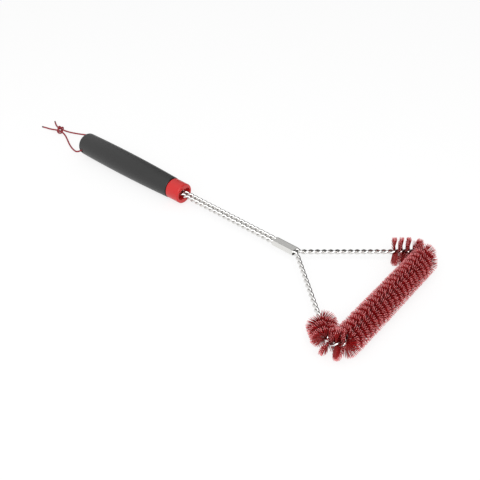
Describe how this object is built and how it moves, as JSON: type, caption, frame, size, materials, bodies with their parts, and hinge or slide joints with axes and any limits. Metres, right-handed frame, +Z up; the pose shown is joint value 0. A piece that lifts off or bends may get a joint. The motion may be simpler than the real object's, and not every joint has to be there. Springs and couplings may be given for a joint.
{
  "type": "grill cleaning brush",
  "caption": "Long twisted-wire grill brush with a triangular head of red nylon bristles, a black barrel grip, a red collar and a cord lanyard.",
  "frame": {"origin": "on the ground under the middle of the brush, lanyard left out", "axes": "+X along the shaft from the handle to the head, +Y to the left across the head, +Z up, the head lying flat"},
  "size_m": [0.5456, 0.1875, 0.0299],
  "materials": {
    "grip_black": "fine satin moulded",
    "core_plastic": "moulded",
    "collar_red": "semi-gloss moulded",
    "stainless_wire": "bright drawn",
    "band_steel": "satin",
    "bristle_nylon": "extruded filament",
    "lanyard_cord": "braided"
  },
  "bodies": {
    "root": {"grip_shell": "grip_black", "handle_core": "core_plastic", "collar": "collar_red", "crimp_sleeve": "band_steel", "tail_ferrule": "band_steel", "wire_1": "stainless_wire", "wire_2": "stainless_wire", "lanyard_near": "lanyard_cord", "lanyard_far": "lanyard_cord", "lanyard_knot": "lanyard_cord", "tuft_01": "bristle_nylon", "tuft_02": "bristle_nylon", "tuft_03": "bristle_nylon", "tuft_04": "bristle_nylon", "tuft_05": "bristle_nylon", "tuft_06": "bristle_nylon", "tuft_07": "bristle_nylon", "tuft_08": "bristle_nylon", "tuft_09": "bristle_nylon", "tuft_10": "bristle_nylon", "tuft_11": "bristle_nylon", "tuft_12": "bristle_nylon", "tuft_13": "bristle_nylon", "tuft_14": "bristle_nylon", "tuft_15": "bristle_nylon", "tuft_16": "bristle_nylon", "tuft_17": "bristle_nylon", "tuft_18": "bristle_nylon", "tuft_19": "bristle_nylon", "tuft_20": "bristle_nylon", "tuft_21": "bristle_nylon", "tuft_22": "bristle_nylon", "tuft_23": "bristle_nylon", "tuft_24": "bristle_nylon", "tuft_25": "bristle_nylon", "tuft_26": "bristle_nylon", "tuft_27": "bristle_nylon", "tuft_28": "bristle_nylon", "tuft_29": "bristle_nylon", "tuft_30": "bristle_nylon"}
  },
  "joints": []
}
